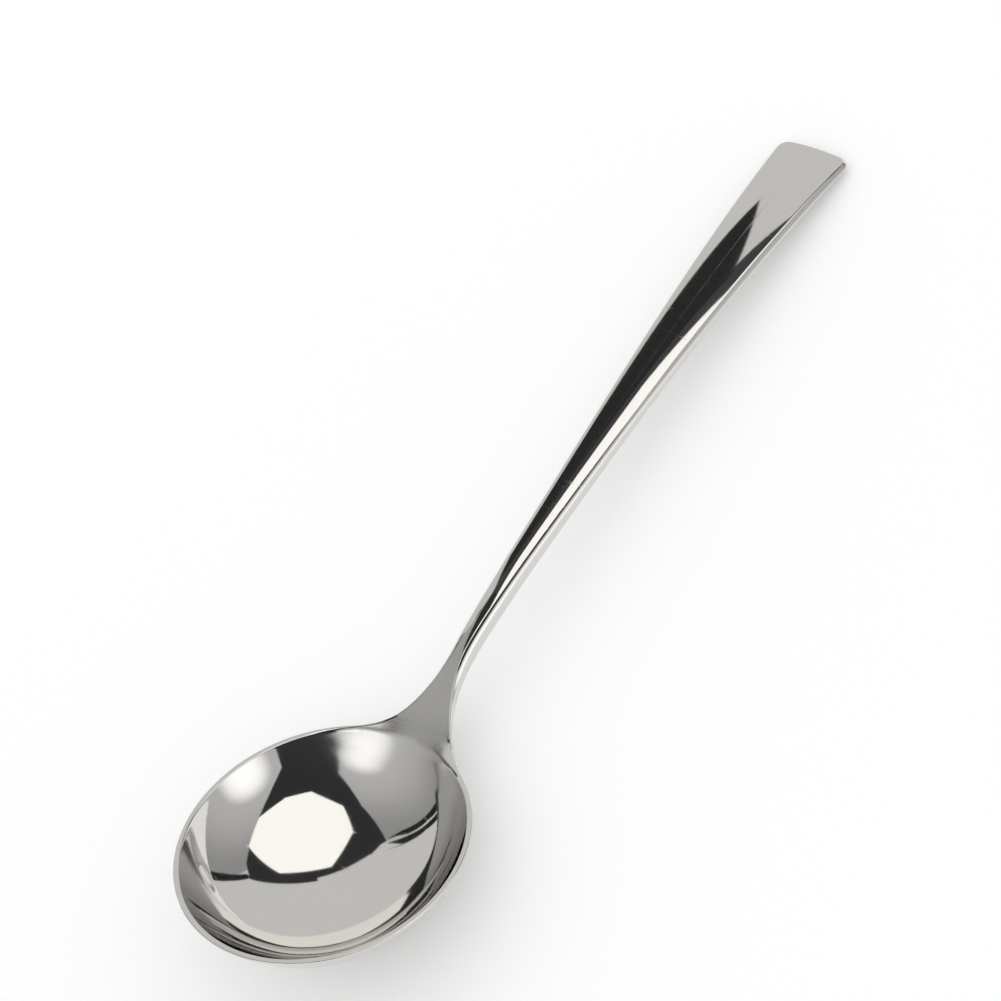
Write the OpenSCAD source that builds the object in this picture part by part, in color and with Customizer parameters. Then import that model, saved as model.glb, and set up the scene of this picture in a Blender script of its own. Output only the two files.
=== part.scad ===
// Round-bowl soup spoon in polished stainless steel.
// It lies as on a table, on the underside of the bowl and the end of the handle.
// X runs from the tip of the bowl to the end of the handle, and Z is up.
// The shape is worked out in the frame of the rim, then tipped to its resting pose.

/* [Bowl] */
// Diameter of the bowl over the rim
bowl_d = 50; // [44:0.5:56]
// Depth of the hollow below the rim
bowl_depth = 12.5; // [10:0.5:14]
// Share of the depth that the rounded floor takes, the rest is the steep wall
floor_share = 0.62; // [0.5:0.02:0.75]
// Width of the flat on top of the rim
rim_land = 0.9; // [0.6:0.1:1.3]
// Height of the rim's upright outer edge
rim_edge = 0.35; // [0.2:0.05:0.6]
// Sheet thickness at the bottom of the bowl
sheet_t = 1.4; // [1:0.1:2]
// Radius over which hollow and flat rim run into each other
rim_blend = 0.1; // [0.05:0.05:0.2]
// Depth of the small flat on which the bowl rests
foot_cut = 0.2; // [0.1:0.05:0.3]

/* [Neck] */
// Radius of the hollow curve between bowl and neck, seen from above
shoulder_r = 21; // [16:0.5:26]
// Width of the neck at its narrowest
neck_w = 2.9; // [2.4:0.1:4.5]
// Thickness of the neck
neck_t = 4.6; // [3.6:0.1:5.4]
// Height of the line of the handle above the rim, where the neck is narrowest
neck_z = 8.96; // [6:0.1:11]
// Rise of the handle for each length along it, just above the neck
neck_rise_share = 0.236; // [0.15:0.01:0.3]
// Further rise below the bend, where the neck climbs out of the bowl
bend_rise_share = 0.396; // [0.3:0.01:0.45]
// Length over which that bend is spread
bend_len = 6.2; // [4:0.2:9]
// Length over which the level rim turns up into the neck
rim_turn = 1.28; // [0.8:0.1:2]
// Distance from the bowl's centre at which the hollow starts to narrow to a point
tongue_start_x = 34.6; // [32:0.2:37]
// Distance from the bowl's centre at which the hollow runs out on the neck
tongue_x = 46; // [43:0.5:48]
// Width of the flat beside the hollow on the neck
neck_land = 0.3; // [0.2:0.05:0.6]
// Rise of the hollow's bed on its way up the neck
tongue_rise_share = 0.58; // [0.5:0.01:0.66]
// Height of the crown along the middle of the neck
neck_crown = 0.15; // [0.05:0.05:0.3]
// Length past the hollow's point over which the handle's own crown takes over
crown_fade = 12; // [8:1:20]
// Distance from the bowl's centre to the joint of bowl and handle
joint_x = 50; // [48.5:0.5:54]

/* [Handle] */
// Distance from the bowl's centre to the end of the handle
handle_x = 149; // [130:1:165]
// Width of the handle at its end
end_w = 14.6; // [10:0.2:18]
// Thickness of the handle at its end
end_t = 2.2; // [1.6:0.1:3]
// Power of the law by which the handle thins towards its end
thin_share = 1.6; // [1:0.1:2]
// Power of the law by which the handle widens
widen_share = 1.25; // [1:0.05:1.6]
// Rise of the handle at its very end
end_rise_share = 0.027; // [0:0.01:0.1]
// Power of the law by which the handle's rise dies away
arch_share = 2.75; // [2:0.05:3.5]
// Height of the crown along the middle of the handle, just above the neck
crown = 0.33; // [0.1:0.01:0.6]
// Height of that crown at the end
end_crown = 0.5; // [0.3:0.05:0.8]
// Share of the thickness that lies above the widest line of the side
side_share = 0.31; // [0.25:0.01:0.4]
// Share of the thickness by which the side bellies out at that line
bulge_share = 0.11; // [0.05:0.01:0.15]
// Width of the polished facet along the top edge, seen from above
facet_w = 0.42; // [0.2:0.02:0.6]
// Height over which that facet falls
facet_drop = 0.305; // [0.2:0.005:0.4]
// Radius of the two corners of the end
corner_r = 2.2; // [1:0.1:3]

/* [Hidden] */

// Steps of the meshes: round the rim, along the shoulder, out from the centre, along the handle, across
rim_steps = 30;
shoulder_steps = 14;
ring_steps = 27;
handle_steps = 40;
corner_steps = 6;
half_cross = 5;
side_steps = 3;

// Shares of the bowl's radius: where the neck's surfaces lift clear, over what length,
// where the rim starts to thicken, and how far the search for the resting point goes
lift_share = 0.8;
lift_len_share = 0.08;
thicken_share = 0.56;
belly_share = 0.6;
// Slope with which they lift
lift_slope_share = 1.6;
// Shares of the bowl's depth over which wall and neck run into each other, inside and below,
// the depth at which half of that is reached, and the depth added so that a little is left at the rim
floor_blend_share = 0.36;
under_blend_share = 0.32;
blend_fade_share = 0.08;
blend_left_share = 0.024;
// Number of blend radii over which the bed of the hollow turns level with its brim
bed_blends = 3;
// Share of the lift over which that bed rounds off where it climbs past its brim
bed_round_share = 0.15;
// Power of the law by which the thin rim turns into the full side of the neck
flank_power = 2;
// Least half of the width, which keeps divisions sound at the tip of the bowl
least_half = 0.001;
// Share of the rim's flat by which the underside would widen up to the rim's level
flare_share = 0.25;
// Power of the law that crowds the rings together towards the rim
crowd_share = 1.5;

bowl_r = bowl_d / 2;
hollow_r = bowl_r - rim_land;
outer_depth = bowl_depth + sheet_t;
// Radius at which the underside would reach the level of the rim
outer_r = bowl_r + flare_share * rim_land;
neck_half = neck_w / 2;
end_half = end_w / 2;

// The shoulder's arc touches the bowl's circle and the straight side of the neck
shoulder_y = neck_half + shoulder_r;
neck_x = sqrt(pow(bowl_r + shoulder_r, 2) - pow(shoulder_y, 2));
touch_angle = atan2(shoulder_y, neck_x);
touch_x = bowl_r * cos(touch_angle);
handle_len = handle_x - neck_x;

// Lift that keeps the neck's surfaces clear above the middle of the bowl
lift_x = lift_share * bowl_r;
lift_len = lift_len_share * bowl_r;
// Length over which the bowl's wall and the floor of the neck run into each other
floor_blend = floor_blend_share * bowl_depth;
under_blend = under_blend_share * bowl_depth;
blend_fade = blend_fade_share * bowl_depth;
blend_left = blend_left_share * bowl_depth;
// Where the thin rim starts to thicken into the neck
thicken_x = thicken_share * bowl_r;

function soft_max(a, b, k) = (a + b + sqrt((a - b) * (a - b) + k * k)) / 2;
function soft_min(a, b, k) = (a + b - sqrt((a - b) * (a - b) + k * k)) / 2;
function clamp01(t) = min(1, max(0, t));
function ease(t) = let (c = clamp01(t)) c * c * (3 - 2 * c);
function mix(a, b, t) = a + (b - a) * t;

// Share of the way from the neck to the end of the handle
function along(x) = max(0, (x - neck_x) / handle_len);

// Half of the spoon's width at x, from the start of the shoulder to the end
function handle_half(x) = mix(neck_half, end_half, pow(along(x), widen_share))
    - corner_loss(x - (handle_x - corner_r));
function corner_loss(d) = d <= 0 ? 0 : corner_r - sqrt(max(0, corner_r * corner_r - d * d));
function shoulder_half(x) = shoulder_y - sqrt(pow(shoulder_r, 2) - pow(neck_x - x, 2));
function half_width(x) = max(least_half, x < touch_x ? sqrt(max(0, bowl_r * bowl_r - x * x))
    : x < neck_x ? shoulder_half(x)
    : handle_half(x));

// Height of the top edge: level round the bowl, up the neck, then along the arched handle
function bend(x) = bend_rise_share * soft_max(neck_x - x, 0, bend_len);
function arch(x) = let (u = along(x), p = arch_share + 1)
    neck_rise_share * (x - neck_x)
    - (neck_rise_share - end_rise_share) * handle_len * pow(u, p) / p;
function edge_z(x) = soft_max(neck_z + arch(x) - bend(x), 0, rim_turn);

// The dish is a surface of revolution: a rounded floor and a steep wall
function dish(r, depth, radius) = let (q = pow(r / radius, 2))
    -depth * (1 - floor_share * q - (1 - floor_share) * q * q * q);
function lift(x) = lift_slope_share * soft_max(lift_x - x, 0, lift_len);

// The bowl's wall and a surface of the neck run into each other, the more the deeper they meet
function run_in(wall, neck, k) = let (
        depth = blend_left + max(0, -(wall + neck) / 2),
        reach = k * depth / (depth + blend_fade),
        near = max(0, reach - abs(wall - neck)))
    min(wall, neck) - near * near / (4 * reach);

// Crown, which starts on the shoulder and grows along the handle
function neck_share(x) = ease((x - touch_x) / (neck_x - touch_x));
function crown_at(x) = neck_share(x)
    * mix(neck_crown, mix(crown, end_crown, along(x)), ease((x - tongue_x) / crown_fade));
function land_z(x, y) = edge_z(x) + crown_at(x) * (1 - pow(min(1, abs(y) / half_width(x)), 2));

// Share of the width that the hollow takes, down to nothing at its point
function land_w(x) = mix(rim_land, neck_land, neck_share(x));
function hollow_share(x) = (1 - land_w(x) / max(rim_land, half_width(x)))
    * (1 - clamp01((x - tongue_start_x) / (tongue_x - tongue_start_x)));
// Height of the hollow's brim, which past the point climbs away over the handle
function brim_z(x) = edge_z(x) + crown_at(x) * (1 - pow(hollow_share(x), 2))
    + neck_rise_share * max(0, x - tongue_x);
// Bed of the hollow on its way up the neck
function bed_z(x) = lift(x) + soft_min(brim_z(x),
    brim_z(tongue_start_x) - tongue_rise_share * (tongue_start_x - x), bed_blends * rim_blend);
function channel_z(x, y) = let (q = y / max(rim_blend, hollow_share(x) * half_width(x)))
    bed_z(x) + soft_max(brim_z(x) - bed_z(x), 0, bed_round_share * lift(x)) * q * q;
function hollow_z(x, y) = run_in(dish(norm([x, y]), bowl_depth, hollow_r), channel_z(x, y), floor_blend);
function top_z(x, y) = soft_min(hollow_z(x, y), land_z(x, y), rim_blend);

// Underside: the thick neck runs in under the bowl
function thicken(x) = ease((x - thicken_x) / (neck_x - thicken_x));
function thickness(x) = x > neck_x ? mix(neck_t, end_t, pow(along(x), thin_share))
    : mix(sheet_t, neck_t, thicken(x));
function side_h(x) = x > neck_x ? side_share * thickness(x)
    : mix(rim_edge, side_share * neck_t, thicken(x));
// Share by which the side is the full flank of the neck and not the thin rim
function flank(x) = pow(thicken(x), flank_power);
function bulge(x) = bulge_share * thickness(x) * flank(x);
function under_z(x, y) = let (
        edge = edge_z(x) - side_h(x),
        middle = min(edge, top_z(x, 0) - thickness(x)),
        q = min(1, abs(y) / (half_width(x) + bulge(x))))
    edge - (edge - middle) * sqrt(1 - q * q);
function bottom_z(x, y) = x > neck_x ? under_z(x, y)
    : run_in(dish(norm([x, y]), outer_depth, outer_r), under_z(x, y) + lift(x), under_blend);

// Steps over the edge, from the top (k = 0) to the widest line of the side (k = side_steps).
// The rim is upright. The neck and the handle have a facet first, and then the bellied side.
function below_facet(k) = max(0, k - 1) / (side_steps - 1);
function flank_out(x, k) = k == 0 ? -facet_w * flank(x) : bulge(x) * (1 - pow(1 - below_facet(k), 2));
function flank_down(x, k) = k == 0 ? 0 : mix(facet_drop, side_h(x), below_facet(k));
function stretch(x, k) = 1 + flank_out(x, k) / half_width(x);
function edge_down(x, k) = mix(side_h(x) * k / side_steps, flank_down(x, k), flank(x));
function side_z(x, y, k) = mix(top_z(x, y * stretch(x, 0)), edge_z(x), below_facet(k)) - edge_down(x, k);

// Resting pose: the line that touches the underside and passes under the end of the handle
end_under = under_z(handle_x, 0);
belly_steps = 100;
belly = [for (i = [0:belly_steps]) let (x = belly_share * bowl_r * i / belly_steps)
    [x, bottom_z(x, 0) + foot_cut]];
// Each pass draws the line through the end and the point of the belly that lies lowest beside it
function lowest(m) = min([for (p = belly) p.y - m * p.x]);
function settle(m, passes) = passes == 0 ? m : let (
        low = lowest(m),
        p = [for (q = belly) if (q.y - m * q.x <= low) q][0])
    settle((end_under - p.y) / (handle_x - p.x), passes - 1);
settle_passes = 6;
rest_slope = settle(0, settle_passes);
rest_angle = atan(rest_slope);
// Height of the rim's level over that line at the bowl's centre
rest_drop = rest_slope * handle_x - end_under;
function foot_z(x, y) = max(bottom_z(x, y), rest_slope * x - rest_drop);
tip_x = -bowl_r * cos(rest_angle) - rim_edge * sin(rest_angle);
far_x = handle_x * cos(rest_angle) + land_z(handle_x, 0) * sin(rest_angle);

module resting() {
    translate([-(tip_x + far_x) / 2, 0, rest_drop * cos(rest_angle)])
        rotate([0, rest_angle, 0])
            children();
}

// Outline of one side of the bowl, from the tip to the joint
shoulder_turn = 90 - touch_angle;
function side_outline() = concat(
    [for (i = [0:rim_steps]) let (a = mix(180, touch_angle, i / rim_steps)) bowl_r * [cos(a), sin(a)]],
    [for (i = [1:shoulder_steps]) let (a = shoulder_turn * (1 - i / shoulder_steps))
        [neck_x - shoulder_r * sin(a), shoulder_y - shoulder_r * cos(a)]],
    [for (i = [1:half_cross]) let (x = mix(neck_x, joint_x, i / half_cross)) [x, half_width(x)]]);
// Places across the neck or handle, closer together towards the edges
function cross_places() = [for (i = [-half_cross:half_cross]) sin(90 * i / half_cross)];

// Pairs of neighbours between two closed rows of n points that start at a and b
function band(n, a, b) = [for (i = [0:n - 1]) let (j = (i + 1) % n) [a + i, a + j, b + j, b + i]];

// Points of an outline on the top, on the side and on the underside, at a share s of its size
function on_top(p, s) = let (x = s * p.x, y = s * p.y * stretch(p.x, 0)) [x, y, top_z(x, y)];
function on_side(p, k) = [p.x, p.y * stretch(p.x, k), side_z(p.x, p.y, k)];
function on_underside(p, s) = let (x = s * p.x, y = s * p.y * stretch(p.x, side_steps))
    [x, y, foot_z(x, y)];

module bowl() {
    left = side_outline();
    places = cross_places();
    end = [for (i = [2 * half_cross - 1:-1:1]) [joint_x, places[i] * half_width(joint_x)]];
    right = [for (i = [len(left) - 1:-1:1]) [left[i].x, -left[i].y]];
    outline = concat(left, end, right);
    n = len(outline);
    reach = [for (j = [1:ring_steps]) 1 - pow(1 - j / ring_steps, crowd_share)];
    // Rings from the middle of the hollow over the edge to the middle of the underside
    rings = concat(
        [for (s = reach) [for (p = outline) on_top(p, s)]],
        [for (k = [1:side_steps - 1]) [for (p = outline) on_side(p, k)]],
        [for (j = [ring_steps - 1:-1:0]) [for (p = outline) on_underside(p, reach[j])]]);
    centre = n * len(rings);
    last = centre - n;
    points = concat([for (ring = rings) for (p = ring) p], [[0, 0, top_z(0, 0)], [0, 0, foot_z(0, 0)]]);
    faces = concat(
        [for (i = [0:n - 1]) [centre, i, (i + 1) % n]],
        [for (j = [0:len(rings) - 2]) for (f = band(n, n * (j + 1), n * j)) f],
        [for (i = [0:n - 1]) [centre + 1, last + (i + 1) % n, last + i]]);
    color([0.78, 0.78, 0.77])
        resting()
            polyhedron(points = points, faces = faces, convexity = 6);
}

// One closed section of the handle: over the top, down one side, back below and up the other side
function section(x) = let (w = half_width(x), places = cross_places()) concat(
    [for (s = places) on_top([x, s * w], 1)],
    [for (k = [1:side_steps - 1]) on_side([x, w], k)],
    [for (i = [2 * half_cross:-1:0]) on_underside([x, places[i] * w], 1)],
    [for (k = [side_steps - 1:-1:1]) on_side([x, -w], k)]);

module handle() {
    stations = concat(
        [for (i = [0:handle_steps]) mix(joint_x, handle_x - corner_r, i / handle_steps)],
        [for (i = [1:corner_steps]) handle_x - corner_r + corner_r * sin(90 * i / corner_steps)]);
    rows = [for (x = stations) section(x)];
    n = len(rows[0]);
    last = n * (len(stations) - 1);
    faces = concat(
        [[for (i = [n - 1:-1:0]) i]],
        [for (j = [0:len(stations) - 2]) for (f = band(n, n * j, n * (j + 1))) f],
        [[for (i = [0:n - 1]) last + i]]);
    color([0.8, 0.8, 0.79])
        resting()
            polyhedron(points = [for (row = rows) for (p = row) p], faces = faces, convexity = 6);
}

bowl();
handle();
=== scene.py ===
# %% [markdown]
# # A round-bowl soup spoon
# The imported model gives the frame: every piece here is in metres, in the same place as in the CAD.
# Nothing made here may reach outside it.

# %% Load the frame
import functools
import math

import bmesh
import bpy
from mathutils import Matrix, Vector


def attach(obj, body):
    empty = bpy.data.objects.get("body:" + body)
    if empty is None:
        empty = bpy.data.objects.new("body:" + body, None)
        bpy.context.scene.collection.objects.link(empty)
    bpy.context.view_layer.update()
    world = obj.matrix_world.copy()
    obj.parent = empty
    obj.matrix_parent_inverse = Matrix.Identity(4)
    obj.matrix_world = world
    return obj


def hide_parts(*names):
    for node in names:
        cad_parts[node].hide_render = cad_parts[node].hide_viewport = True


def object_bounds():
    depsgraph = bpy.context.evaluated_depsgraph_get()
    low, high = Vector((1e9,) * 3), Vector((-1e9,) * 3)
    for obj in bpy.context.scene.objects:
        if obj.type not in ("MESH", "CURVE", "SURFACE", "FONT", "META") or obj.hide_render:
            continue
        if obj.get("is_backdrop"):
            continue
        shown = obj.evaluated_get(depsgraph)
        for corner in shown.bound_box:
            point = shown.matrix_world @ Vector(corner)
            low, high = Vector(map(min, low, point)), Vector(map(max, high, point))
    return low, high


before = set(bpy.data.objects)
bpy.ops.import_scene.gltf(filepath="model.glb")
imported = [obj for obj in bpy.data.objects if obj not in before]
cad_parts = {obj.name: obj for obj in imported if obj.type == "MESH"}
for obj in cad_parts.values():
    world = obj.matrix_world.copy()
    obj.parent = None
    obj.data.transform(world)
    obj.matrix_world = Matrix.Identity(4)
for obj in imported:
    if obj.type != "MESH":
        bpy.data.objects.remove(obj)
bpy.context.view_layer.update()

# %% [markdown]
# ## The shape as a few laws
# A spoon like this is pressed from one blank, so its surfaces run into each other without a break.
# Such a shape can be sculpted, or lofted through sections. Here it is written down as heights over
# the plane of the rim, in millimetres, with X from the middle of the bowl towards the handle. The
# CAD uses the same laws, so the fine mesh lies exactly where the coarse solids are.

# %% Sizes in millimetres
BOWL_R = 25.0
BOWL_DEPTH = 12.5
FLOOR_SHARE = 0.62
RIM_LAND = 0.9
RIM_EDGE = 0.35
SHEET_T = 1.4
RIM_BLEND = 0.1
FOOT_CUT = 0.2

SHOULDER_R = 21.0
NECK_HALF = 1.45
NECK_T = 4.6
NECK_Z = 8.96
NECK_RISE = 0.236
BEND_RISE = 0.396
BEND_LEN = 6.2
RIM_TURN = 1.28
TONGUE_X = 46.0
NECK_LAND = 0.3
NECK_CROWN = 0.15
CROWN_FADE = 12.0
TONGUE_START = 34.6
TONGUE_RISE = 0.58
JOINT_X = 50.0

HANDLE_X = 149.0
END_HALF = 7.3
END_T = 2.2
THIN = 1.6
WIDEN = 1.25
END_RISE = 0.027
ARCH = 2.75
CROWN = 0.33
END_CROWN = 0.5
SIDE_SHARE = 0.31
BULGE_SHARE = 0.11
FACET_IN = 0.42
FACET_DROP = 0.305
CORNER_R = 2.2

# %% What follows from the sizes
HOLLOW_R = BOWL_R - RIM_LAND
OUTER_DEPTH = BOWL_DEPTH + SHEET_T
OUTER_R = BOWL_R + 0.25 * RIM_LAND
LIFT_X = 0.8 * BOWL_R
LIFT_LEN = 0.08 * BOWL_R
LIFT_SLOPE = 1.6
FLOOR_BLEND = 0.36 * BOWL_DEPTH
UNDER_BLEND = 0.32 * BOWL_DEPTH
BLEND_FADE = 0.08 * BOWL_DEPTH
BLEND_LEFT = 0.024 * BOWL_DEPTH
THICKEN_X = 0.56 * BOWL_R
BED_BLEND = 3 * RIM_BLEND
BED_ROUND = 0.15
FLANK_POWER = 2
TINY = 1e-9

SHOULDER_Y = NECK_HALF + SHOULDER_R
NECK_X = math.sqrt((BOWL_R + SHOULDER_R) ** 2 - SHOULDER_Y ** 2)
TOUCH_ANGLE = math.atan2(SHOULDER_Y, NECK_X)
TOUCH_X = BOWL_R * math.cos(TOUCH_ANGLE)
HANDLE_LEN = HANDLE_X - NECK_X
print("neck at", round(NECK_X, 3), "mm, shoulder touches the bowl at", round(TOUCH_X, 3), "mm")


# %% Small helpers for blending
def soft_max(a, b, k):
    return (a + b + math.hypot(a - b, k)) / 2


def soft_min(a, b, k):
    return (a + b - math.hypot(a - b, k)) / 2


def clamp01(t):
    return min(1.0, max(0.0, t))


def ease(t):
    c = clamp01(t)
    return c * c * (3 - 2 * c)


def mix(a, b, t):
    return a + (b - a) * t


# %% [markdown]
# ## Outline and edge
# Seen from above, the spoon is a circle, a hollow shoulder and a slowly widening handle with two
# small corners. Seen from the side, the edge is level round the bowl, climbs the neck and then
# arches over. These two curves carry everything else.

# %% Width and height of the edge
def along(x):
    return max(0.0, (x - NECK_X) / HANDLE_LEN)


def corner_loss(d):
    return 0.0 if d <= 0 else CORNER_R - math.sqrt(max(0.0, CORNER_R ** 2 - d * d))


def half_width(x):
    if x < TOUCH_X:
        return math.sqrt(max(0.0, BOWL_R ** 2 - x * x))
    if x < NECK_X:
        return SHOULDER_Y - math.sqrt(SHOULDER_R ** 2 - (NECK_X - x) ** 2)
    return mix(NECK_HALF, END_HALF, along(x) ** WIDEN) - corner_loss(x - (HANDLE_X - CORNER_R))


def edge_z(x):
    bend = BEND_RISE * soft_max(NECK_X - x, 0, BEND_LEN)
    p = ARCH + 1
    arch = NECK_RISE * (x - NECK_X) - (NECK_RISE - END_RISE) * HANDLE_LEN * along(x) ** p / p
    return soft_max(NECK_Z + arch - bend, 0, RIM_TURN)


# %% Height of the top
def dish(r, depth, radius):
    q = (r / radius) ** 2
    return -depth * (1 - FLOOR_SHARE * q - (1 - FLOOR_SHARE) * q ** 3)


def run_in(wall, neck, k):
    depth = BLEND_LEFT + max(0.0, -(wall + neck) / 2)
    reach = k * depth / (depth + BLEND_FADE)
    near = max(0.0, reach - abs(wall - neck))
    return min(wall, neck) - near ** 2 / (4 * reach)


def lift(x):
    return LIFT_SLOPE * soft_max(LIFT_X - x, 0, LIFT_LEN)


def neck_share(x):
    return ease((x - TOUCH_X) / (NECK_X - TOUCH_X))


def crown_at(x):
    full = mix(CROWN, END_CROWN, along(x))
    return neck_share(x) * mix(NECK_CROWN, full, ease((x - TONGUE_X) / CROWN_FADE))


def land_z(x, y):
    across = min(1.0, abs(y) / max(TINY, half_width(x)))
    return edge_z(x) + crown_at(x) * (1 - across ** 2)


def hollow_share(x):
    taper = clamp01((x - TONGUE_START) / (TONGUE_X - TONGUE_START))
    land = mix(RIM_LAND, NECK_LAND, neck_share(x)) / max(RIM_LAND, half_width(x))
    return (1 - land) * (1 - taper)


def brim_z(x):
    past = max(0.0, x - TONGUE_X)
    return edge_z(x) + crown_at(x) * (1 - hollow_share(x) ** 2) + NECK_RISE * past


def channel_z(x, y):
    line = brim_z(TONGUE_START) - TONGUE_RISE * (TONGUE_START - x)
    floor = soft_min(brim_z(x), line, BED_BLEND) + lift(x)
    half = max(RIM_BLEND, hollow_share(x) * half_width(x))
    return floor + soft_max(brim_z(x) - floor, 0, BED_ROUND * lift(x)) * (y / half) ** 2


def hollow_z(x, y):
    return run_in(dish(math.hypot(x, y), BOWL_DEPTH, HOLLOW_R), channel_z(x, y), FLOOR_BLEND)


def top_z(x, y):
    return soft_min(hollow_z(x, y), land_z(x, y), RIM_BLEND)


# %% Height of the underside
def thicken(x):
    return ease((x - THICKEN_X) / (NECK_X - THICKEN_X))


def thickness(x):
    return mix(NECK_T, END_T, along(x) ** THIN) if x > NECK_X else mix(SHEET_T, NECK_T, thicken(x))


def side_height(x):
    return SIDE_SHARE * thickness(x) if x > NECK_X else mix(RIM_EDGE, SIDE_SHARE * NECK_T, thicken(x))


def flank(x):
    return thicken(x) ** FLANK_POWER


def bulge(x):
    return BULGE_SHARE * thickness(x) * flank(x)


def under_z(x, y):
    edge = edge_z(x) - side_height(x)
    middle = min(edge, top_z(x, 0) - thickness(x))
    q = min(1.0, abs(y) / max(TINY, half_width(x) + bulge(x)))
    return edge - (edge - middle) * math.sqrt(1 - q * q)


def bottom_z(x, y):
    if x > NECK_X:
        return under_z(x, y)
    outer = dish(math.hypot(x, y), OUTER_DEPTH, OUTER_R)
    return run_in(outer, under_z(x, y) + lift(x), UNDER_BLEND)


# %% [markdown]
# ## How it lies
# On a table the spoon rests on the belly of the bowl and on the end of its handle. The line through
# both is found by a few passes, and one matrix then tips the rim frame into the resting pose and
# turns millimetres into metres.

# %% The resting pose
belly = [(0.6 * BOWL_R * i / 100) for i in range(101)]
end_under = under_z(HANDLE_X, 0)
rest_slope = 0.0
for _ in range(6):
    low = min(belly, key=lambda x: bottom_z(x, 0) + FOOT_CUT - rest_slope * x)
    rest_slope = (end_under - bottom_z(low, 0) - FOOT_CUT) / (HANDLE_X - low)
rest_angle = math.atan(rest_slope)
rest_drop = rest_slope * HANDLE_X - end_under
tip_x = -BOWL_R * math.cos(rest_angle) - RIM_EDGE * math.sin(rest_angle)
far_x = HANDLE_X * math.cos(rest_angle) + land_z(HANDLE_X, 0) * math.sin(rest_angle)
resting = (Matrix.Scale(0.001, 4)
           @ Matrix.Translation((-(tip_x + far_x) / 2, 0, rest_drop * math.cos(rest_angle)))
           @ Matrix.Rotation(rest_angle, 4, "Y"))
print("tipped by", round(math.degrees(rest_angle), 3), "degrees")

# %% [markdown]
# ## A grid that follows the outline
# The visible faces are laid out as a grid. One way of it runs round the outline, from the tip of
# the bowl to the end of the handle. The other runs from the middle line out to the edge, and one
# of its lines follows the crease between the hollow and the flat rim, so that the crease is crisp.
# In the bowl the middle is a point, and up the neck it becomes a line.

# %% Stations round one half of the outline
CREASE_RINGS, LAND_RINGS, SIDE_RINGS, UNDER_RINGS = 44, 9, 15, 58
TOP_RINGS = CREASE_RINGS + LAND_RINGS + SIDE_RINGS - 1
RIM_STEPS, SHOULDER_STEPS, NECK_STEPS = 164, 62, 28
HANDLE_STEPS, CORNER_STEPS, END_STEPS = 160, 14, 26
JOINT_GAP = 0.02
FAN_LEN = 5
FAN_X = HANDLE_X - FAN_LEN


def middle_of(x):
    slant = (1 - neck_share(x)) * NECK_X / SHOULDER_Y
    return max(0.0, x - half_width(x) * slant)


outline = []
for i in range(RIM_STEPS + 1):
    a = mix(math.pi, TOUCH_ANGLE, i / RIM_STEPS)
    outline.append((BOWL_R * math.cos(a), BOWL_R * math.sin(a), 0.0, math.cos(a), math.sin(a)))
for i in range(1, SHOULDER_STEPS + 1):
    a = (math.pi / 2 - TOUCH_ANGLE) * (1 - i / SHOULDER_STEPS)
    x = NECK_X - SHOULDER_R * math.sin(a)
    y = SHOULDER_Y - SHOULDER_R * math.cos(a)
    outline.append((x, y, middle_of(x), math.sin(a), math.cos(a)))
straight = [mix(NECK_X, JOINT_X - JOINT_GAP, i / NECK_STEPS) for i in range(1, NECK_STEPS + 1)]
straight += [JOINT_X, JOINT_X + JOINT_GAP]
straight += [mix(JOINT_X, HANDLE_X - CORNER_R, i / HANDLE_STEPS)
             for i in range(1, HANDLE_STEPS + 1)]
outline += [(x, half_width(x), min(x, FAN_X), 0.0, 1.0) for x in straight]
for i in range(1, CORNER_STEPS + 1):
    a = math.pi / 2 * i / CORNER_STEPS
    x = HANDLE_X - CORNER_R * (1 - math.sin(a))
    outline.append((x, half_width(x), FAN_X, math.sin(a), math.cos(a)))
for i in range(1, END_STEPS + 1):
    outline.append((HANDLE_X, half_width(HANDLE_X) * (1 - i / END_STEPS), FAN_X, 1.0, 0.0))
print(len(outline), "stations on each side")

# %% [markdown]
# ## The flank
# Round the bowl the edge is a small rounding over an upright rim. On the neck and the handle the
# flank is fuller: a polished facet runs along the top edge, and below it the side bellies out to its
# widest line. Both are written as steps outwards and down from the edge, and the neck blends them.

# %% Steps over the edge
ROUND_R = 0.15
ROUND_STEPS = 8
LAST_GAP = 0.6
# Each step of the facet is a share of its width inwards and of its drop downwards.
FACET_STEPS = [(1.07, 0.0), (0.95, 0.07), (0.86, 0.17), (0.24, 0.863), (0.14, 0.988), (0.05, 1.12)]


def over_rim(k):
    if k <= ROUND_STEPS:
        a = math.pi / 2 * k / ROUND_STEPS
        return -ROUND_R * (1 - math.sin(a)), ROUND_R * (1 - math.cos(a))
    return 0.0, mix(ROUND_R, RIM_EDGE, (k - ROUND_STEPS) / (SIDE_RINGS - ROUND_STEPS))


def over_flank(x, k):
    if k < len(FACET_STEPS):
        inward, down = FACET_STEPS[k]
        return -FACET_IN * inward, FACET_DROP * down
    h = (k - len(FACET_STEPS) + 1) / (SIDE_RINGS - len(FACET_STEPS) + LAST_GAP)
    start, down = -FACET_IN * FACET_STEPS[-1][0], FACET_DROP * FACET_STEPS[-1][1]
    out = BULGE_SHARE * thickness(x) - start
    return start + out * (1 - (1 - h) ** 2), mix(down, side_height(x), h)


def over_edge(x, k):
    rim_out, rim_down = over_rim(k)
    flank_out, flank_down = over_flank(x, k)
    return (mix(rim_out, flank_out, flank(x)),
            mix(rim_down * side_height(x) / RIM_EDGE, flank_down, flank(x)))


print("on the bowl's edge, out and down:", over_edge(0, ROUND_STEPS))
print("on the handle's facet, out and down:", over_edge(2 * JOINT_X, len(FACET_STEPS) - 1))

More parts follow.
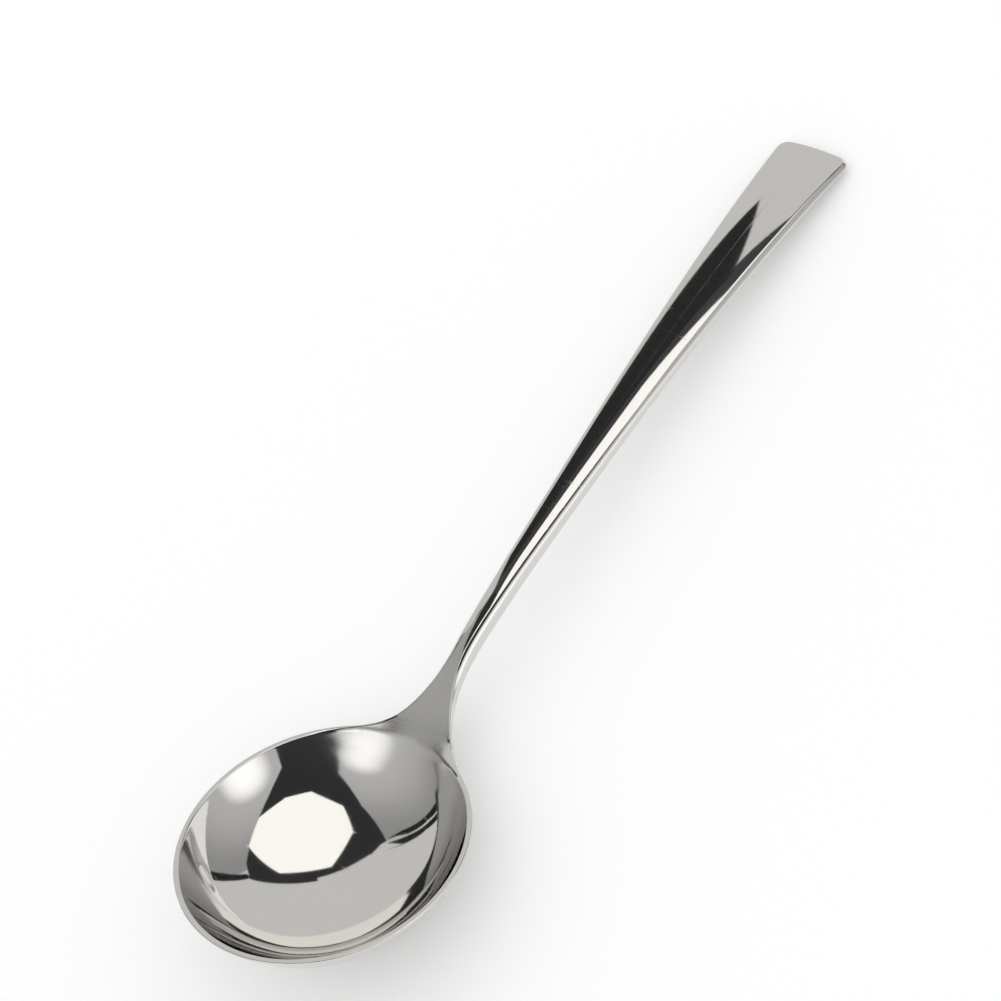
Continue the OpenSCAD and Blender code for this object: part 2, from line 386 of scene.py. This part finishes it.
# %% [markdown]
# ## Where each ring lies
# The crease is the line where the hollow comes up through the flat of the rim. A modeller would cut
# one surface with the other. Here each spoke of the grid looks for it by halving, so that a ring
# lies on the line exactly, also at the shoulder, where an estimate would leave a dark tick. Past
# the point of the hollow there is no crease, and the ring settles at a fixed share of the width.

# %% Crease, top and underside
CREASE_FROM, CREASE_MOST = 0.35, 0.98
HALVINGS = 14
PLAIN_SHARE, PLAIN_RUN = 0.6, 14
RING_POWER = 1.6
FOOT_BLEND = 0.03
END_ROUND = 0.25


@functools.lru_cache(None)
def crease_share(x, y, middle):
    inside, outside = CREASE_FROM, 1.0
    for _ in range(HALVINGS):
        share = (inside + outside) / 2
        px, py = mix(middle, x, share), share * y
        if hollow_z(px, py) < land_z(px, py):
            inside = share
        else:
            outside = share
    return mix(outside, PLAIN_SHARE, ease((x - TONGUE_X) / PLAIN_RUN))


def stepped(x, y, nx, ny, out):
    if out < 0:
        return x + nx * out, y + ny * out
    return x, y + out * y / max(TINY, half_width(x))


def on_top(x, y, middle, nx, ny, j):
    k = j - CREASE_RINGS - LAND_RINGS
    inner = over_edge(x, 0)[0]
    ex, ey = stepped(x, y, nx, ny, inner)
    if k > 0:
        out, down = over_edge(x, k)
        px, py = stepped(x, y, nx, ny, out)
        below = clamp01((k - len(FACET_STEPS)) / (SIDE_RINGS - len(FACET_STEPS)))
        return px, py, mix(top_z(ex, ey), top_z(px, half_width(px)), below) - down
    inset = inner / max(TINY, math.hypot(x - middle, y))
    crease = min(CREASE_MOST, crease_share(x, y, middle) / (1 + inset))
    if j > CREASE_RINGS:
        share = mix(crease, 1, (j - CREASE_RINGS) / LAND_RINGS)
    else:
        share = crease * (1 - (1 - j / CREASE_RINGS) ** RING_POWER)
    px, py = mix(middle, ex, share), ey * share
    return px, py, top_z(px, py)


def on_underside(x, y, middle, nx, ny, j):
    ex, ey = stepped(x, y, nx, ny, bulge(x))
    share = math.sin(math.pi / 2 * j / UNDER_RINGS)
    px, py = mix(middle, ex, share), ey * share
    z = soft_max(bottom_z(px, py), rest_slope * px - rest_drop, FOOT_BLEND)
    inside = max(0.0, END_ROUND - (HANDLE_X - px))
    return px, py, z + END_ROUND - math.sqrt(END_ROUND ** 2 - inside ** 2)


# %% [markdown]
# ## Top, underside and edge
# Each side starts as a flat grid whose points are then carried to their places. The half is
# mirrored, and the two sheets are bridged along their edge.

# %% One sheet from a grid
MERGE = 1e-5


def sheet(place_of, rings):
    bm = bmesh.new()
    bmesh.ops.create_grid(bm, x_segments=len(outline) - 1, y_segments=rings, size=0.5)
    for v in bm.verts:
        station = outline[round((v.co.x + 0.5) * (len(outline) - 1))]
        v.co = Vector(place_of(*station, round((v.co.y + 0.5) * rings)))
    bmesh.ops.remove_doubles(bm, verts=bm.verts, dist=MERGE)
    bmesh.ops.mirror(bm, geom=bm.verts[:] + bm.edges[:] + bm.faces[:], axis="Y", merge_dist=MERGE)
    return bm


def add_mesh(target, source):
    carrier = bpy.data.meshes.new("carrier")
    source.to_mesh(carrier)
    target.from_mesh(carrier)
    bpy.data.meshes.remove(carrier)
    source.free()


whole = sheet(on_top, TOP_RINGS)
print(len(whole.verts), "points in the top")

# %% [markdown]
# ## Where the satin lies
# The wheel reaches the neck's side of the hollow. There the satin starts across the bowl and grows
# towards the point, and on the far wall it starts a little sooner. It stops at the crease.

# %% Satin on the top
SATIN_START, SATIN_RUN = 17, 17
WALL_START, WALL_RUN, WALL_LEAN = 18, 14, 0.4
SATIN_EDGE = 0.1
satin = whole.verts.layers.float.new("satin")
for v in whole.verts:
    edge = HOLLOW_R if v.co.x < TOUCH_X else hollow_share(v.co.x) * half_width(v.co.x)
    reach = math.hypot(v.co.x, v.co.y) if v.co.x < TOUCH_X else abs(v.co.y)
    worn = max((v.co.x - SATIN_START) / SATIN_RUN,
               (v.co.x + WALL_LEAN * v.co.y - WALL_START) / WALL_RUN)
    v[satin] = clamp01((edge - reach) / SATIN_EDGE + 0.5) * ease(worn)
print(sum(v[satin] > 0 for v in whole.verts), "points carry satin")

# %% The underside joins the top
top_edges = [e for e in whole.edges if e.is_boundary]
known = set(whole.edges)
add_mesh(whole, sheet(on_underside, UNDER_RINGS))
low_edges = [e for e in whole.edges if e.is_boundary and e not in known]
print(len(top_edges), "edges round the top,", len(low_edges), "round the underside")

# %% Bridge the two and check
bmesh.ops.bridge_loops(whole, edges=top_edges + low_edges)
bmesh.ops.recalc_face_normals(whole, faces=whole.faces)
print(len(whole.faces), "faces, open edges:", sum(not e.is_manifold for e in whole.edges))

# %% [markdown]
# ## Two pieces with no seam in sight
# On the real spoon nothing shows where bowl and handle meet. So the finished metal is sawn across
# the neck, both cuts are closed, and the cut edges are marked sharp to keep the skin's shading
# smooth right up to the joint.

# %% Saw the metal at the joint
CUT_MERGE = 1e-4
TURNING_UNIT = 100


def turning_place(x, y, side, keep_handle):
    if keep_handle:
        return x / TURNING_UNIT, y / TURNING_UNIT
    angle = math.atan2(abs(y), x) * side if abs(y) < CUT_MERGE else math.atan2(y, x)
    return 0.5 + angle / math.tau, math.hypot(x, y) / TURNING_UNIT


def sawn(name, keep_handle):
    bm = whole.copy()
    bmesh.ops.bisect_plane(bm, geom=bm.verts[:] + bm.edges[:] + bm.faces[:], dist=CUT_MERGE,
                           plane_co=(JOINT_X, 0, 0), plane_no=(1, 0, 0),
                           clear_inner=keep_handle, clear_outer=not keep_handle)
    for f in bm.faces:
        f.smooth = True
    cut = [e for e in bm.edges if e.is_boundary]
    for e in cut:
        e.smooth = False
    cap = bmesh.ops.contextual_create(bm, geom=cut)["faces"]
    for f in cap:
        f.smooth = False
    turning = bm.loops.layers.uv.new("turning")
    for f in bm.faces:
        side = math.copysign(1.0, f.calc_center_median().y)
        for loop in f.loops:
            loop[turning].uv = turning_place(*loop.vert.co.xy, side, keep_handle)
    bmesh.ops.recalc_face_normals(bm, faces=bm.faces)
    bmesh.ops.transform(bm, matrix=resting, verts=bm.verts)
    mesh = bpy.data.meshes.new(name)
    bm.to_mesh(mesh)
    bm.free()
    piece = bpy.data.objects.new(name, mesh)
    bpy.context.scene.collection.objects.link(piece)
    print(name, len(mesh.polygons), "faces,", len(cap), "cap")
    return piece


spoon_bowl = sawn("spoon_bowl", False)
spoon_handle = sawn("spoon_handle", True)
whole.free()
for piece, node, slot in ((spoon_bowl, "bowl", "bowl_steel"),
                          (spoon_handle, "handle", "handle_steel")):
    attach(piece, "root")
    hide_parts(node)

# %% [markdown]
# ## Polished steel
# The metal is stainless steel, polished to a mirror. Up the neck the hollow keeps a satin finish:
# the polishing wheel left fine lines that sweep round the bowl and blur what they mirror. The mesh
# carries that finish as the attribute "satin", from 0 in the middle of the bowl to 1 in the point
# of the hollow. Everywhere else there is only a breath of haze, with faint wiping marks and
# hair-fine scratches. All of it is noise from nodes, so it needs no picture. The handle counts as
# a little less than full metal, because what it mirrors is nowhere quite black on a real set.

# %% A few helpers for nodes
def node_kit(owner):
    tree = owner.node_tree

    def put(socket, value):
        if isinstance(value, bpy.types.NodeSocket):
            tree.links.new(value, socket)
        else:
            socket.default_value = value

    def add(kind, **inputs):
        node = tree.nodes.new(kind)
        for key, value in inputs.items():
            put(node.inputs[key.replace("_", " ")], value)
        return node

    def work_out(operation, *values):
        node = tree.nodes.new("ShaderNodeMath")
        node.operation = operation
        for socket, value in zip(node.inputs, values):
            put(socket, value)
        return node.outputs[0]

    def stretched(vector, scale):
        node = tree.nodes.new("ShaderNodeVectorMath")
        node.operation = "MULTIPLY"
        put(node.inputs[0], vector)
        put(node.inputs[1], scale)
        return node.outputs[0]

    return put, add, work_out, stretched


# %% Steel
WARM_STEEL, COOL_STEEL = (0.71, 0.70, 0.68, 1), (0.67, 0.66, 0.645, 1)
WIPE_SCALE, HAIR_SCALE = (60, 110, 60), (900, 90, 500)
HAIR_FROM, HAIR_TO = 0.68, 0.74
SATIN_BLUR, LINE_BLUR, WIPE_BLUR, HAIR_BLUR = 0.12, 0.35, 0.07, 0.08
PLAIN_GROOVES, HAIR_DEPTH = 0.08, -0.1
GROOVE_DEPTH = 0.00002
ALONG_LINES, QUARTER_TURN = 0.55, 0.25


def steel(name, haze, line_scale, line_depth, metallic):
    material = bpy.data.materials.new(name)
    material.use_nodes = True
    shader = material.node_tree.nodes["Principled BSDF"]
    put, add, work_out, stretched = node_kit(material)
    turning = add("ShaderNodeUVMap")
    turning.uv_map = "turning"
    place = add("ShaderNodeTexCoord").outputs["Object"]
    mask = add("ShaderNodeAttribute")
    mask.attribute_name = "satin"
    satin = mask.outputs["Fac"]

    lines = add("ShaderNodeTexNoise", Vector=stretched(turning.outputs["UV"], line_scale),
                Scale=1.0, Detail=5.0, Roughness=0.65).outputs["Fac"]
    wiping = add("ShaderNodeTexNoise", Vector=stretched(place, WIPE_SCALE),
                 Scale=1.0, Detail=4.0, Roughness=0.6).outputs["Fac"]
    hairs = add("ShaderNodeTexNoise", Vector=stretched(place, HAIR_SCALE),
                Scale=1.0, Detail=2.0, Roughness=0.5, Distortion=0.6).outputs["Fac"]
    scratch = add("ShaderNodeMapRange", Value=hairs,
                  From_Min=HAIR_FROM, From_Max=HAIR_TO).outputs["Result"]

    blur = work_out("MULTIPLY", satin, work_out("MULTIPLY_ADD", lines, LINE_BLUR, SATIN_BLUR))
    smear = work_out("MULTIPLY_ADD", wiping, WIPE_BLUR, haze)
    polish = work_out("MULTIPLY_ADD", scratch, HAIR_BLUR, smear)
    put(shader.inputs["Roughness"], work_out("ADD", blur, polish))

    tint = add("ShaderNodeMix")
    tint.data_type = "RGBA"
    put(tint.inputs[0], wiping)
    put(tint.inputs[6], WARM_STEEL)
    put(tint.inputs[7], COOL_STEEL)
    put(shader.inputs["Base Color"], tint.outputs[2])

    grooves = work_out("MULTIPLY", lines, work_out("ADD", satin, PLAIN_GROOVES))
    relief = work_out("MULTIPLY_ADD", scratch, HAIR_DEPTH, grooves)
    bump = add("ShaderNodeBump", Strength=line_depth, Distance=GROOVE_DEPTH, Height=relief)
    put(shader.inputs["Normal"], bump.outputs["Normal"])

    around_bowl = add("ShaderNodeTangent")
    around_bowl.direction_type = "UV_MAP"
    around_bowl.uv_map = "turning"
    put(shader.inputs["Tangent"], around_bowl.outputs[0])
    put(shader.inputs["Anisotropic"], work_out("MULTIPLY", satin, ALONG_LINES))
    shader.inputs["Anisotropic Rotation"].default_value = QUARTER_TURN
    shader.inputs["Metallic"].default_value = metallic
    return material


spoon_bowl.data.materials.append(steel("bowl steel", 0.015, (9, 620, 1), 0.5, 1.0))
spoon_handle.data.materials.append(steel("handle steel", 0.01, (5, 500, 1), 0.25, 0.97))
print("steel on", spoon_bowl.name, "and", spoon_handle.name)

# %% [markdown]
# ## Camera
# The photograph looks down on the spoon from its left side through a long lens. The three rows are
# the camera's right, down and forward in the frame of the rim, and the shift is in millimetres.
# The picture's size and the focal length are in pixels.

# %% Camera
PICTURE_SIZE, FOCAL_LENGTH = 1001, 4164.7
look = Matrix(((0.6046, -0.7642, -0.2245), (-0.6461, -0.3057, -0.6994), (0.4659, 0.5679, -0.6786)))
shift = Vector((-28.892, 55.169, 673.08))
turn = resting.to_3x3() @ look.transposed() * 1000
place = resting @ (-(look.transposed() @ shift))
view = bpy.data.cameras.new("camera")
view.sensor_width = 36
view.lens = view.sensor_width * FOCAL_LENGTH / PICTURE_SIZE
view.clip_start, view.clip_end = 0.01, 20
camera = bpy.data.objects.new("camera", view)
camera.matrix_world = Matrix.Translation(place) @ Matrix(
    (turn.col[0], -turn.col[1], -turn.col[2])).transposed().to_4x4()
bpy.context.scene.collection.objects.link(camera)
bpy.context.scene.camera = camera
print("camera at", [round(v, 3) for v in place])

# %% [markdown]
# ## Floor and studio
# The spoon lies on a plain white floor in a light tent. A mirror shows its surroundings, so these
# matter as much as the metal: an eight-sided softbox overhead in a black frame, a pale wall, and
# the cloth of the tent with two lamps behind it. The floor could be a lit sweep of paper. Here it is
# a matt plane, lit evenly from all sides, that glows a little so that it looks white and still keeps
# the spoon's soft shadow.

# %% Floor
scene = bpy.context.scene
scene.view_settings.view_transform = "Standard"


def stage_piece(name, bm, material):
    mesh = bpy.data.meshes.new(name)
    bm.to_mesh(mesh)
    bm.free()
    mesh.materials.append(material)
    piece = bpy.data.objects.new(name, mesh)
    scene.collection.objects.link(piece)
    piece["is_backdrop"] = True
    return piece


FLOOR_SIZE, FLOOR_WHITE, FLOOR_GLOW = 3, 0.88, 0.12
floor_white = bpy.data.materials.new("floor white")
floor_white.use_nodes = True
put, add, work_out, stretched = node_kit(floor_white)
paint = floor_white.node_tree.nodes["Principled BSDF"]
paint.inputs["Base Color"].default_value = (FLOOR_WHITE, FLOOR_WHITE, FLOOR_WHITE, 1)
paint.inputs["Roughness"].default_value = 0.8
paint.inputs["Specular IOR Level"].default_value = 0.0
paint.inputs["Emission Color"].default_value = (1, 1, 1, 1)
ray = add("ShaderNodeLightPath").outputs
seen = work_out("MAXIMUM", ray["Is Camera Ray"], ray["Is Glossy Ray"])
put(paint.inputs["Emission Strength"], work_out("MULTIPLY", seen, FLOOR_GLOW))

floor_bm = bmesh.new()
bmesh.ops.create_grid(floor_bm, x_segments=1, y_segments=1, size=FLOOR_SIZE)
stage_piece("floor", floor_bm, floor_white)
print("floor of", 2 * FLOOR_SIZE, "m")

# %% [markdown]
# ## Cards round the bowl
# A photographer shapes what the metal mirrors with white and black cards. Each could be an area lamp
# or a painted board. Here each is a flat glowing panel whose corners are written as they are seen
# from the bowl: the tilt from straight up, and the direction round. So a corner can be set from the
# spot where the bowl mirrors it. Only mirror rays see the cards, so they cast neither light nor
# shadow on the floor.

# %% A card from the directions of its corners
BOWL_CENTRE = Vector((-0.06, 0, 0.015))
FLATTEST = 0.2


def pointing(tilt, azimuth):
    t, a = math.radians(tilt), math.radians(azimuth)
    return Vector((math.sin(t) * math.cos(a), math.sin(t) * math.sin(a), math.cos(t)))


def glowing(name, colour):
    material = bpy.data.materials.new(name)
    material.use_nodes = True
    tree = material.node_tree
    tree.nodes.clear()
    light = tree.nodes.new("ShaderNodeEmission")
    light.inputs["Color"].default_value = (*colour, 1)
    end = tree.nodes.new("ShaderNodeOutputMaterial")
    tree.links.new(light.outputs[0], end.inputs["Surface"])
    return material


def card(name, corners, distance, colour):
    bm = bmesh.new()
    rays = [pointing(*c) for c in corners]
    facing = sum(rays, Vector()).normalized()
    reach = [distance / max(FLATTEST, r.dot(facing)) for r in rays]
    bmesh.ops.contextual_create(bm, geom=[bm.verts.new(BOWL_CENTRE + r * d)
                                          for r, d in zip(rays, reach)])
    piece = stage_piece(name, bm, glowing(name, colour))
    piece.visible_camera = piece.visible_diffuse = piece.visible_shadow = False
    print(name, "with", len(corners), "corners at", distance, "to", round(max(reach), 2), "m")
    return piece


# %% The softbox in its black frame
SOFTBOX_LIGHT, FRAME_DARK = (1.38, 1.36, 1.32), (0.036, 0.036, 0.038)
OCTAGON = [(23.9, -108.9), (5.1, 132), (22, 62.3), (37.9, 38.2),
           (46.5, 8), (53.6, -29), (48, -56.8), (36, -84)]
FRAME = [(40, 77.8), (40.9, 71), (41.6, 56), (43, 45), (46, 30.5), (53.7, 9),
         (61, -3), (58, -16), (53.5, -27), (48.2, -57), (51, -90), (57, -108),
         (80, -118), (80, -148), (46.5, -157), (32.3, -155.6), (15.6, 119)]
card("softbox", OCTAGON, 0.9, SOFTBOX_LIGHT)
card("black frame", FRAME, 1.0, FRAME_DARK)

# %% Beams in front of everything
BEAM_DARK = (0.02, 0.02, 0.02)
BEAMS = {
    "upper edge": [(39.3, 80.5), (44.9, 91), (61.4, 104.2), (78.5, 113), (89, 114),
                   (89, 111.5), (79, 109), (65.5, 102.4), (49.8, 90.6), (40.4, 78.6)],
    "lower edge": [(40.7, 76.8), (51, 90), (66.7, 101.6), (80, 107.6), (89, 110.5),
                   (89, 108), (79.2, 104), (64.6, 96.7), (49.4, 82.3), (42.9, 71.5)],
    "beam at the tip": [(61, -7.6), (60, -3), (76, -8), (90, -10), (90, -16), (78, -14)],
}
for name, corners in BEAMS.items():
    card(name, corners, 0.8, BEAM_DARK)

# %% [markdown]
# ## The wall behind the frame
# The wall is one pale card behind the rest. Beside the frame, a strip of it is lit for the bowl
# alone: the bowl mirrors it as wall, while in the handle it stays dark and carries the handle's long
# black line on. On a real set a narrow black card near the handle would do that. The strip ends
# where its edge meets the line at the neck, so that nothing shows at the joint of the two pieces.

# %% Wall and strip
WALL_PALE = (0.73, 0.72, 0.705)
WALL = [(36, 62), (40.2, 79), (47, 90.5), (63.5, 103), (79, 111), (90, 113.5),
        (90, 80), (90, 40), (90, 0), (90, -12), (50, -10)]
STRIP = [(39.4, 64), (50, 67), (60, 67.9), (59.5, 60), (60, 40), (44, 31), (41, 45), (39.5, 57)]
strip = card("wall beside the frame", STRIP, 1.1, WALL_PALE)
lit = bpy.data.collections.new("lit by the strip")
lit.objects.link(spoon_bowl)
strip.light_linking.receiver_collection = lit
card("wall", WALL, 1.3, WALL_PALE)

# %% [markdown]
# ## The tent and its two lamps
# A white tent closes the set. Its cloth is grey in the metal, with a bright core and a wide halo
# where each lamp stands behind it. Two area lamps would give hard edges, so the world is shaded by
# direction instead. Only mirror rays see that: for everything else the tent is an even white, which
# gives the floor its soft shadow.

# %% World
CLOTH = 0.36
LAMPS = [(54, -179), (75.5, -86)]
# Each glow is full up to the first angle from the lamp, in degrees, and gone at the second.
CORE, HALO = (1, 22, 0.85), (8, 65, 0.25)
world = bpy.data.worlds.new("studio")
scene.world = world
world.use_nodes = True
put, add, work_out, stretched = node_kit(world)
around = add("ShaderNodeTexCoord").outputs["Generated"]


def lamp_glow(direction, inner, outer, strength):
    dot = add("ShaderNodeVectorMath")
    dot.operation = "DOT_PRODUCT"
    put(dot.inputs[0], around)
    put(dot.inputs[1], pointing(*direction))
    ramp = add("ShaderNodeMapRange", Value=dot.outputs["Value"], To_Max=strength,
               From_Min=math.cos(math.radians(outer)), From_Max=math.cos(math.radians(inner)))
    ramp.interpolation_type = "SMOOTHSTEP"
    return ramp.outputs["Result"]


panels = CLOTH
for lamp in LAMPS:
    for glow in (CORE, HALO):
        panels = work_out("ADD", lamp_glow(lamp, *glow), panels)
mirrored = add("ShaderNodeLightPath").outputs["Is Glossy Ray"]
choose = add("ShaderNodeMix", Factor=mirrored, A=1.0, B=panels)
background = world.node_tree.nodes["Background"]
put(background.inputs["Strength"], choose.outputs["Result"])
put(background.inputs["Color"], (1, 1, 1, 1))
print(len(LAMPS), "lamps behind the cloth")

# %% Size
low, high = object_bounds()
print("visual box", [round(v, 4) for v in low], [round(v, 4) for v in high])
